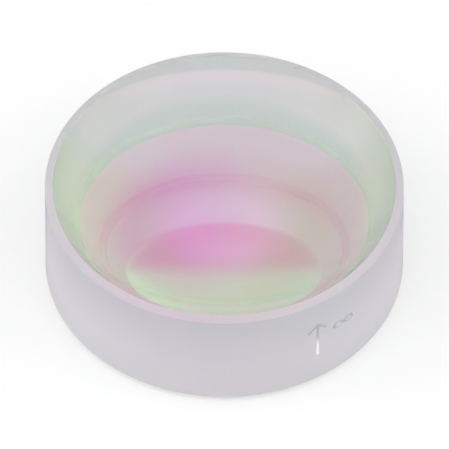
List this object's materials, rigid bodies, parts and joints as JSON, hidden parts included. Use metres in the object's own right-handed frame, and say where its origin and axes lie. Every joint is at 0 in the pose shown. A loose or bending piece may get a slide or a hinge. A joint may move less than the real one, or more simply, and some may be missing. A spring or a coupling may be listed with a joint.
{
  "type": "plano-concave lens",
  "caption": "Round glass lens, flat on one side and hollowed to a sphere on the other, with a ground cylindrical edge and small bevels round both faces.",
  "frame": {"origin": "centre of the plano face, where the optical axis meets the surface that the lens stands on", "axes": "+Z along the optical axis, out of the hollow face; the engraved sign on the edge is on the -Y side, a little towards +X"},
  "size_m": [0.0126, 0.0126, 0.0043],
  "materials": {
    "glass": "clear fused silica, both faces polished with an interference coating that shows green and magenta, edge and bevels finely ground"
  },
  "bodies": {
    "root": {"lens": "glass"}
  },
  "joints": []
}
